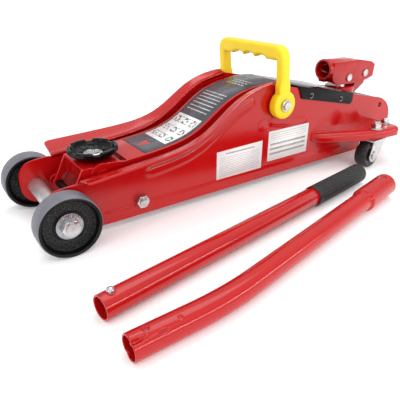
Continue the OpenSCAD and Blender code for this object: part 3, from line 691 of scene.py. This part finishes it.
def bolt_end(name, start, direction, length, r, body):
    """The rounded end of a bolt, standing out of its nut."""
    turned(name, start, direction, [(0, r), (length - 0.9, r), (length - 0.3, r - 0.5), (length, r - 1.2)],
           body, "zinc")


def washer(name, start, direction, r, t, bore, body):
    """A flat washer with its outer edges broken."""
    turned(name, start, direction, [(0, bore), (0, r - 0.3), (0.25, r), (t - 0.25, r), (t, r - 0.3),
                                    (t, bore)], body, "zinc", closed=True)


WING_TOP, WING_T, WING_FOOT = 60, 3, 46.5
ON_WING, WASHER_T = WING_TOP + 0.1, 1.4


def fasteners(side):
    """The nuts, washers and bolts of one side that show."""
    sign = SIDES[side]
    out = ACROSS * sign
    nut("axle_nut_" + side, (0, sign * 78.7, WHEEL_R), out, 19, 7.3, 6.6, "frame", "axle_nuts")
    nut("tie_nut_" + side, (-97.5, sign * (PLATE_OUT + 0.1), 30.5), out, 15, 7.9, 5.1, "frame", "tie_nuts")
    kingpin = Vector((-500, sign * 94, ON_WING))
    nut("kingpin_nut_" + side, kingpin + UP * WASHER_T, UP, 14.7, 8, 5.1, "frame", "kingpin_nuts")
    washer("kingpin_washer_" + side, kingpin, UP, 9.5, WASHER_T, 5.1, "frame")
    bolt = Vector((-537, sign * 84, ON_WING))
    nut("wing_nut_" + side, bolt + UP * WASHER_T, UP, 12.1, 5.5, 4, "frame", "wing_bolts")
    washer("wing_washer_" + side, bolt, UP, 8.5, WASHER_T, 4, "frame")
    bolt_end("wing_bolt_end_" + side, bolt - UP * 2.9, UP, 11.8, 4, "frame")
    nut("wing_bolt_head_" + side, bolt - UP * (WING_T + 0.2), -UP, 12.1, 4.9, 0.5, "frame")


for side in SIDES:
    fasteners(side)


# ---------- studs of the levelling rods ----------


def rod_stud(side):
    """Shouldered stud for a levelling rod's rear eye; it is welded inside the plate and hidden there."""
    sign = SIDES[side]
    centre = middle("rod_studs")
    rows = [(36.7, 8.1), (37.1, 8.5), (38.7, 8.5), (38.7, 5.95), (43.3, 5.95), (43.3, 8.5), (51, 8.5),
            (51, 5.9), (53, 5.9)]
    start = Vector(((centre.x - ORIGIN.x) / MM, 0, centre.z / MM))
    turned("rod_stud_" + side, start, ACROSS * sign, rows, "frame", "zinc", "rod_studs", n=48)


for side in SIDES:
    rod_stud(side)


# ---------- caster wings ----------

WING_FRONT = [(-396, 54), (-402, 64), (-434, 80), (-466, 97), (-500, 107)]
WING_CORNER = (-535, 96)
WING_R = 14


def wing_outline():
    """The wing's free edge in plan, from the plate round its corner to the plate again."""
    curve = []
    for (x0, y0), (x1, y1) in zip(WING_FRONT, WING_FRONT[1:]):
        curve += [(x0 + (x1 - x0) * t, y0 + (y1 - y0) * t) for t in (0, 0.25, 0.5, 0.75)]
    curve += [WING_FRONT[-1]]
    curve += arc(WING_CORNER, WING_R, 84, 180, 14)
    curve += [(WING_CORNER[0] - WING_R, y) for y in (90, 80, 70, 60, 54)]
    smooth = curve[:1]
    for before, here, after in zip(curve, curve[1:], curve[2:]):
        smooth.append(((before[0] + 2 * here[0] + after[0]) / 4, (before[1] + 2 * here[1] + after[1]) / 4))
    return smooth + curve[-1:]


def wing(side):
    """Pressed wing: a flat top that rolls over into a deep lip."""
    sign = SIDES[side]
    outline = wing_outline()
    roll = 6

    def row(inset, z):
        """The outline drawn in by inset at height z; the lip stops short on the rear edge."""
        under_top = WING_TOP - WING_T
        points = []
        for k, (x, y) in enumerate(outline):
            (xa, ya), (xb, yb) = outline[max(k - 1, 0)], outline[min(k + 1, len(outline) - 1)]
            length = math.hypot(xb - xa, yb - ya)
            nx, ny = (ya - yb) / length, (xb - xa) / length
            if k in (0, len(outline) - 1):
                nx, ny = (-1 if k == 0 else 1), 0
            low = z
            if z < under_top and x < -545:
                low = under_top - (under_top - z) * ease((y - 80) / 12)
            points.append(at(x + nx * inset, sign * (y + ny * inset if y > 55 else y), low))
        return points

    def roll_rows(r, start, stop, steps):
        """Rows round the rolled edge, between two angles in degrees."""
        turns = [math.radians(start + (stop - start) * k / steps) for k in range(steps + 1)]
        return [row(roll - r * math.sin(a), WING_TOP - roll + r * math.cos(a)) for a in turns]

    outer = roll_rows(roll, 0, 90, 6) + [row(0, WING_FOOT + 1.2), row(0.6, WING_FOOT)]
    inner = [row(WING_T - 0.6, WING_FOOT), row(WING_T, WING_FOOT + 0.8)]
    inner += roll_rows(roll - WING_T, 90, 0, 4)
    rows = outer + inner
    n = len(outline)
    points = [point for line in rows for point in line]
    faces = [(i * n + k, i * n + k + 1, (i + 1) * n + k + 1, (i + 1) * n + k)
             for i in range(len(rows) - 1) for k in range(n - 1)]
    faces.append(tuple(range(n)))
    faces.append(tuple(range((len(rows) - 1) * n, len(rows) * n)))
    ends = [i * n for i in range(len(rows))]
    faces.append(tuple(ends))
    faces.append(tuple(e + n - 1 for e in ends))
    piece("wing_" + side, points, faces, "frame", "red_paint", "caster_wing_" + side)


for side in SIDES:
    wing(side)


# ---------- punched marks on the cover's flaps ----------

COVER_OUT = 56.3
FLAP_MARKS = (-382, -450)


def rear_edge_z(x):
    """Height of the plates' upper edge at the pump end."""
    return 139 + (x + 339) * 42.6 / 210


def flap_mark(name, x, sign):
    """A C-shaped lanced tab that stands a little out of the flap, in a grey metal ring that is a painted
    highlight along the lance's edges.
    """
    centre = (x, rear_edge_z(x) - 9)
    outline = arc(centre, 4.0, 40, 320, 20) + arc(centre, 2.7, 320, 40, 20)
    # The grey dark_steel ring is a painted highlight: the light caught along the lance's edges
    slab(name, outline, sign * (COVER_OUT - 0.3), sign * (COVER_OUT + 0.9), "frame", "dark_steel",
         "cover_screws")
    slab(name + "_tab", arc(centre, 1.6, 0, 330, 11), sign * (COVER_OUT - 0.3), sign * (COVER_OUT + 0.5),
         "frame", "black_paint")


for side, sign in SIDES.items():
    for number, x in enumerate(FLAP_MARKS):
        flap_mark(f"flap_mark_{side}_{number}", x, sign)


# ---------- carry handle ----------

BAIL = (-317.5, 119)
BAIL_LEAN = math.radians(5)
BAIL_IN, BAIL_T = 56.7, 13
BAIL_OUT = BAIL_IN + BAIL_T
BAIL_H = 78
BAIL_LEG_W, BAIL_GRIP = 15, 19
BAIL_CORNER = 9
BAIL_RING = 19


def on_bail(u, y, v):
    """A point in the carry handle's own plane: u along the jack and v up its legs, in mm."""
    x = BAIL[0] + u * math.cos(BAIL_LEAN) + v * math.sin(BAIL_LEAN)
    z = BAIL[1] - u * math.sin(BAIL_LEAN) + v * math.cos(BAIL_LEAN)
    return at(x, y, z)


def squircle(a, half_u, half_w):
    """A point at angle a on a rectangle with well rounded corners."""
    c, d = math.cos(a), math.sin(a)
    k = (abs(c) ** 5 + abs(d) ** 5) ** (-1 / 5)
    return half_u * k * c, half_w * k * d


def bail_path():
    """The handle's spine from ring to ring: (y, v, half width along the jack, half thickness, angle in
    the handle's plane from the jack's near side to the outer face)."""
    y_leg, v_grip = (BAIL_IN + BAIL_OUT) / 2, BAIL_H - BAIL_GRIP / 2
    path = [(y_leg, v, BAIL_LEG_W / 2 + 2.2 * ease((34 - v) / 8), BAIL_T / 2, 0.0)
            for v in spread(12, v_grip - BAIL_CORNER, 3)]
    steps = 8
    for k in range(1, steps + 1):
        turn = k / steps * math.pi / 2
        half = BAIL_T / 2 + (BAIL_GRIP - BAIL_T) / 2 * ease(k / steps)
        y = y_leg - BAIL_CORNER * (1 - math.cos(turn))
        path.append((y, v_grip - BAIL_CORNER * (1 - math.sin(turn)), BAIL_LEG_W / 2, half, turn))
    for y in spread(y_leg - BAIL_CORNER - 2, 0, 2):
        path.append((y, v_grip, BAIL_LEG_W / 2, BAIL_GRIP / 2, math.pi / 2))
    return path + [(-y, v, half_u, half_t, math.pi - turn) for y, v, half_u, half_t, turn in path[-2::-1]]


def scallop(y):
    """How far the grip's underside is hollowed for the fingers at y."""
    nearest = min((-24, 0, 24), key=lambda c: abs(y - c))
    off = abs(y - nearest)
    return 4.0 * math.sqrt(max(1 - (off / 11.5) ** 2, 0))


def bail():
    """One moulding: two ringed legs and a finger grip, every edge well rounded."""
    n = 40
    loops = []
    for y, v, half_u, half_t, turn in bail_path():
        loop = []
        for k in range(n):
            u, w = squircle(2 * math.pi * k / n, half_u, half_t)
            if w < 0 and v > BAIL_H - BAIL_GRIP:
                w += scallop(y) * min(1, -w / half_t * 1.4)
            loop.append(on_bail(u, y + w * math.cos(turn), v + w * math.sin(turn)))
        loops.append(loop)
    piece("carry_grip", *loft(loops), "carry_handle", "yellow_plastic", "carry_handle")
    hole = 5.3
    rows = [(0.1, hole), (0.1, BAIL_RING - 1.5), (0.8, BAIL_RING - 0.4), (2.0, BAIL_RING),
            (BAIL_T - 2.4, BAIL_RING), (BAIL_T - 1.0, BAIL_RING - 0.5), (BAIL_T - 0.3, BAIL_RING - 1.6),
            (BAIL_T - 0.3, 10.5), (BAIL_T - 0.9, 10.0), (BAIL_T - 0.9, hole)]
    for side, sign in SIDES.items():
        centre = Vector((BAIL[0], sign * BAIL_IN, BAIL[1]))
        turned("carry_ring_" + side, centre, ACROSS * sign, rows, "carry_handle", "yellow_plastic", n=80,
               closed=True)


bail()


# ---------- saddle ----------

SADDLE = (-63, 77.3)
SADDLE_R, SADDLE_H = 31, 14.5
SADDLE_FLOOR = 5


def castle(a):
    """1 on the rim's merlons and 0 in its six notches, with slanting flanks."""
    off = abs((math.degrees(a) - 12 + 30) % 60 - 30)
    return ease((off - 6.5) / 4.5)


def saddle():
    """Pressed cup with a castellated, slightly wavy rim and ribs running out from its middle."""
    centre = Vector((SADDLE[0], 0, SADDLE[1]))

    def ring(h, r, wavy=0.0, drop=0.0):
        """A ring at height h, drawn in by wavy's share of 0.7 mm and lowered by drop at the notches."""
        return (centre + UP * h, UP, lambda a: r - 0.7 * wavy * (1 - castle(a)),
                lambda a: -drop * (1 - castle(a)))

    def rib(h, r, depth):
        """A ring raised by depth on twelve ribs."""
        return (centre + UP * h, UP, r, lambda a: depth * (0.5 + 0.5 * math.cos(12 * a)) ** 6)

    bore = 4.2
    stations = [ring(0.1, bore), ring(0.1, 18), ring(1.5, 22), ring(SADDLE_H - 7.6, SADDLE_R - 2.0),
                ring(SADDLE_H - 6.2, SADDLE_R - 0.5, 1), ring(SADDLE_H - 5, SADDLE_R, 1, 0.4),
                ring(SADDLE_H - 1.2, SADDLE_R, 1, 2.4), ring(SADDLE_H - 0.35, SADDLE_R - 0.3, 1, 2.5),
                ring(SADDLE_H, SADDLE_R - 1.1, 1, 2.5), ring(SADDLE_H, SADDLE_R - 3.1, 1, 2.5),
                ring(SADDLE_H - 0.4, SADDLE_R - 3.9, 1, 2.5), ring(SADDLE_H - 1.4, SADDLE_R - 4.5, 1, 2.2),
                ring(SADDLE_H - 4.5, SADDLE_R - 5.6, 0.6, 0.4), rib(SADDLE_FLOOR + 2.2, 23.0, 0.3),
                rib(SADDLE_FLOOR + 0.8, 20.0, 0.8), rib(SADDLE_FLOOR + 0.1, 17.5, 0.6),
                ring(SADDLE_FLOOR, 14.5), ring(SADDLE_FLOOR, bore)]
    obj = swept("saddle_cup", stations, "saddle", "saddle_black", "saddle", n=288, closed=True)
    round_edges(obj, 0.3)


def saddle_screw():
    """Wide flat head with a cross recess."""
    top = 84.35
    start = Vector((SADDLE[0], 0, top))

    def cross(a):
        """Depth of the recess by angle: two arms of a cross."""
        return ease((abs(math.cos(2 * a)) - 0.72) / 0.2)

    def dip(r, depth):
        return (start, UP, r, lambda a: -depth * cross(a + math.radians(20)))

    stations = [(start - UP * 14, UP, 4), (start - UP * 1.75, UP, 4), (start - UP * 1.75, UP, 11.6),
                (start - UP * 1.3, UP, 12), (start - UP * 0.5, UP, 12), (start - UP * 0.1, UP, 11.4),
                (start, UP, 10.8), (start, UP, 6.4), dip(6.0, 0.3), dip(5.6, 1.2), dip(3.4, 1.4),
                dip(1.8, 1.5), (start - UP * 1.5, UP, 1.1), (start - UP * 1.5, UP, 0.2)]
    swept("saddle_screw_head", stations, "saddle_bracket", "zinc", "saddle_screw", n=128)


saddle()
saddle_screw()


# ---------- handle tubes ----------


class TubeFrame:
    """The local frame of a handle tube that leans on the floor: X along it, Z up its wall."""

    def __init__(self, start, heading, rise):
        h, a = math.radians(heading), math.atan(rise)
        self.start = Vector(start)
        self.x = Vector((math.cos(a) * math.cos(h), math.cos(a) * math.sin(h), math.sin(a)))
        self.z = Vector((-math.sin(a) * math.cos(h), -math.sin(a) * math.sin(h), math.cos(a)))
        self.y = self.z.cross(self.x)

    def point(self, x, y=0.0, z=0.0):
        return self.start + self.x * x + self.y * y + self.z * z


TUBE_R, TUBE_IN = 12.7, 10.9
GRIP_START, GRIP_END = 324, 447
BUTTON_X, BUTTON_R = 12, 4
upper = TubeFrame((16, 192.4, TUBE_R), 188.3, 1.3 / 324)


def upper_tube():
    """Plain tube with rounded lips, open at its near end."""
    wall = [(0.5, TUBE_IN), (0.1, TUBE_IN + 0.5), (0.1, TUBE_R - 0.6), (0.6, TUBE_R),
            (GRIP_END - 3.6, TUBE_R), (GRIP_END - 3.1, TUBE_R - 0.4), (GRIP_END - 3.1, TUBE_IN)]
    turned("upper_tube", upper.start, upper.x, wall, "upper_handle", "red_paint", "upper_handle_tube", n=96,
           closed=True)


def button():
    """Domed button with the clean hole edge round it."""
    dome = [(TUBE_IN - 3, BUTTON_R + 0.9), (TUBE_IN - 1.8, BUTTON_R + 0.9), (TUBE_IN - 1.8, BUTTON_R - 0.1),
            (14.6, BUTTON_R - 0.1), (15.5, 3.6), (16.3, 2.9), (16.9, 2.0), (17.25, 0.9), (17.3, 0.1)]
    turned("button_dome", upper.point(BUTTON_X), upper.z, dome, "push_button", "zinc", "push_button", n=48)
    collar = [(TUBE_R - 0.5, BUTTON_R), (TUBE_R - 0.55, 5.4), (TUBE_R - 0.2, 5.4), (TUBE_R - 0.05, 5.0),
              (TUBE_R - 0.05, BUTTON_R)]
    turned("button_hole_edge", upper.point(BUTTON_X), upper.z, collar, "upper_handle", "red_paint", n=48,
           closed=True)


def button_spring():
    """Bent strip inside the tube: one leg on its floor, the other under the button's foot."""
    low, high, strip = -10.2, 7.6, 0.8
    end_x, front_x = BUTTON_X + 42, BUTTON_X - 6
    bend = [(end_x + 0.2, low), (end_x + 1.0, low + 0.4), (end_x + 1.2, low + 1.0)]
    outer = [(front_x, low)] + bend
    outer += [(BUTTON_X + 7.4, high - 0.35), (BUTTON_X + 6.6, high), (front_x, high)]
    inner = [(front_x, high - strip), (BUTTON_X + 6.3, high - strip), (end_x - 1.0, low + 1.3),
             (end_x - 1.5, low + strip), (front_x, low + strip)]
    loops = [[at(*upper.point(x, y, z)) for x, z in outer + inner] for y in (-3.5, 3.5)]
    obj = piece("button_strip", *loft(loops), "upper_handle", "spring_steel", "button_spring")
    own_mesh(obj)


RIBS = 24


def grip():
    """Rubber grip: a smooth collar, lengthwise ribs and a domed end."""
    def ribbed(r, depth):
        return lambda a: r - depth * (0.5 - 0.5 * math.cos(RIBS * a)) ** 1.5

    length = GRIP_END - GRIP_START
    r = 13.95
    rows = [(0.4, TUBE_R + 0.06), (0.1, TUBE_R + 0.5), (0.4, r - 0.3), (1.2, r), (7.0, r), (8.0, r - 0.5),
            (9.0, r - 0.5), (10.5, ribbed(r, 0.1)), (12.0, ribbed(r, 1.1)), (length - 20, ribbed(r, 1.1)),
            (length - 17, ribbed(r, 0.1)), (length - 16, r)]
    dome = 7
    rows += [(length - dome - 0.5, r), (length - dome, r)]
    for degrees in range(15, 90, 12):
        t = math.radians(degrees)
        rows.append((length - dome - 0.1 + dome * math.sin(t), r - dome + dome * math.cos(t)))
    rows += [(length - 0.1, 5.5), (length - 0.3, 4.6), (length - 1.2, 4.0), (length - 1.3, 0.2),
             (length - 2.9, 0.2), (length - 2.9, TUBE_R - 0.2), (length - 3.5, TUBE_R + 0.06)]
    start = upper.point(GRIP_START)
    turned("grip_sleeve", start, upper.x, rows, "upper_handle", "rubber", "rubber_grip", n=RIBS * 8,
           closed=True)


BEND_START, BEND_RADIUS, BEND = 62, 400, math.radians(11)
SWAGE_R, SWAGE_BORE, SWAGE_AT, FAR_L = 15.55, 12.95, 228, 300
lower = TubeFrame((16, 249.37, TUBE_R), 180.8, 2.9 / 365)


def on_lower(s):
    """Centre and direction at a distance s along the bent tube."""
    if s < BEND_START:
        return lower.point(s), lower.x
    turn = min((s - BEND_START) / BEND_RADIUS, BEND)
    centre = lower.point(BEND_START + BEND_RADIUS * math.sin(turn), BEND_RADIUS * (1 - math.cos(turn)))
    direction = lower.x * math.cos(turn) + lower.y * math.sin(turn)
    return centre + direction * max(s - BEND_START - BEND_RADIUS * BEND, 0), direction


SWAGE_START = BEND_START + BEND_RADIUS * BEND + SWAGE_AT
TUBE_END = BEND_START + BEND_RADIUS * BEND + FAR_L
# Dents in the wall: where along and round the tube, half length, half width, depth
DENTS = [(4, 1.05, 13, 3.6, 3.2), (4, 4.2, 11, 4.5, 2.4), (28, 0.85, 5.0, 2.6, 1.9),
         (46, 1.2, 3.0, 3.0, 0.8)]
DENTS += [(SWAGE_START - 1, k * math.pi / 3 + 0.4, 3.0, 3.0, 0.6) for k in range(6)]
# Cross holes, drawn as pits almost through the wall: where along the tube, and radius
PITS = [(16, 3.0), (TUBE_END - 12, 4.4)]
PIT_DEPTH = 1.6


def dented(s, r, pits=True):
    """The wall's radius round the lower tube at s."""
    def radius(a):
        depth = 0.0
        for at_s, at_a, half_l, half_w, deep in DENTS:
            round_off = r * ((a - at_a + math.pi) % (2 * math.pi) - math.pi)
            depth += deep * ease(1.15 * (1 - math.hypot((s - at_s) / half_l, round_off / half_w)))
        for at_s, size in PITS if pits else []:
            round_off = r * ((a - math.pi / 2 + math.pi) % (2 * math.pi) - math.pi)
            depth = max(depth, PIT_DEPTH * ease((size - math.hypot(s - at_s, round_off)) / 0.7 + 0.5))
        return r - depth
    return radius


def lower_tube():
    """Bent tube, crimped and dented at its open end, with a wider socket at the other."""
    def outer_r(s):
        return TUBE_R + (SWAGE_R - TUBE_R) * ease((s - SWAGE_START) / 5)

    near = spread(0.9, 50, 0.6)
    rows = near + spread(54, SWAGE_START - 6, 8) + spread(SWAGE_START - 5, SWAGE_START + 6, 0.7)
    rows += [TUBE_END - 30] + spread(TUBE_END - 18, TUBE_END - 6, 0.6) + [TUBE_END - 2, TUBE_END - 0.8]
    outer = [(0.1, TUBE_R - 0.6), (0.4, TUBE_R - 0.15)] + [(s, outer_r(s)) for s in rows]
    outer += [(TUBE_END - 0.3, SWAGE_R - 0.15), (TUBE_END - 0.1, SWAGE_R - 0.6)]
    inner = [(TUBE_END - 0.1, SWAGE_BORE + 0.7), (TUBE_END - 0.6, SWAGE_BORE + 0.05),
             (TUBE_END - 62, SWAGE_BORE + 0.05), (TUBE_END - 64, TUBE_IN)]
    inner += [(s, TUBE_IN) for s in spread(SWAGE_START - 8, 54, 8) + spread(34, 1, 1.5)]
    inner += [(0.5, TUBE_IN), (0.1, TUBE_IN + 0.4)]
    stations = [(*on_lower(s), dented(s, r)) for s, r in outer]
    stations += [(*on_lower(s), dented(s, r, pits=False)) for s, r in inner]
    swept("lower_tube", stations, "lower_handle", "red_paint", "lower_handle_tube", n=128, closed=True)


upper_tube()
button()
button_spring()
grip()
lower_tube()


# ---------- floor, light and camera ----------


def floor():
    """A wide white floor that glows faintly, so that it fades into the background."""
    mesh = bpy.data.meshes.new("studio_floor")
    far = 30.0
    mesh.from_pydata([(-far, -far, 0), (far, -far, 0), (far, far, 0), (-far, far, 0)], [], [(0, 1, 2, 3)])
    obj = bpy.data.objects.new("studio_floor", mesh)
    bpy.context.scene.collection.objects.link(obj)
    m = Nodes("studio_white")
    m.colour(m.ramp(m.noise(2), [(0.3, 0.95), (0.7, 0.97)]))
    m.set(roughness=0.9, emission_color=(1, 1, 1, 1), emission_strength=0.12)
    mesh.materials.append(m.material)


def area_light(name, place, aim, size, power):
    """A rectangular soft light at place, turned towards aim; places in metres, power in watts."""
    data = bpy.data.lights.new(name, "AREA")
    data.shape = "RECTANGLE"
    data.size, data.size_y = size
    data.energy = power
    obj = bpy.data.objects.new(name, data)
    bpy.context.scene.collection.objects.link(obj)
    obj.location = place
    obj.rotation_euler = (Vector(aim) - Vector(place)).to_track_quat("-Z", "Y").to_euler()


# Brightness of the studio's air by height: a white horizon, dimmer walls and a bright ceiling.
# The first two are the ramp's own ends.
SKY = [(0.0, 0.98), (1.0, 1.15), (0.24, 0.95), (0.34, 0.55), (0.46, 0.75), (0.7, 1.1)]


def studio():
    """The air and the soft lights round the jack."""
    world = bpy.data.worlds.new("studio_air")
    bpy.context.scene.world = world
    world.use_nodes = True
    tree = world.node_tree
    split = tree.nodes.new("ShaderNodeSeparateXYZ")
    tree.links.new(tree.nodes.new("ShaderNodeTexCoord").outputs["Generated"], split.inputs["Vector"])
    sky = tree.nodes.new("ShaderNodeValToRGB")
    tree.links.new(split.outputs["Z"], sky.inputs["Fac"])
    elements = list(sky.color_ramp.elements)
    elements += [sky.color_ramp.elements.new(0.5) for _ in SKY[2:]]
    for (height, grey), element in zip(SKY, elements):
        element.position = height
        element.color = (grey, grey, grey, 1)
    tree.links.new(sky.outputs["Color"], tree.nodes["Background"].inputs["Color"])
    tree.nodes["Background"].inputs["Strength"].default_value = 1.0
    area_light("strip", (-0.9, 2.1, 0.75), (0, 0.1, 0.05), (3.2, 0.11), 19)
    area_light("key", (0.35, 1.0, 1.5), (0, 0.1, 0.05), (1.6, 0.35), 4)
    area_light("top", (-0.4, -0.3, 1.7), (0, 0, 0.05), (1.6, 0.8), 9)
    area_light("side", (1.6, 0.4, 0.5), (0.1, 0.1, 0.08), (0.3, 0.8), 3)
    bpy.context.scene.view_settings.view_transform = "Standard"


def camera():
    """A camera at the jack's near front corner, looking a little down."""
    data = bpy.data.cameras.new("camera")
    data.sensor_width = 36
    data.lens = 38.95
    data.clip_start = 0.01
    obj = bpy.data.objects.new("camera", data)
    bpy.context.scene.collection.objects.link(obj)
    azimuth, elevation = math.radians(145.68), math.radians(26.90)
    looks = Vector((-math.sin(azimuth) * math.cos(elevation), math.cos(azimuth) * math.cos(elevation),
                    -math.sin(elevation)))
    obj.location = at(111.3, 489.15, 272.13)
    obj.rotation_euler = looks.to_track_quat("-Z", "Y").to_euler()
    bpy.context.scene.camera = obj


floor()
studio()
camera()
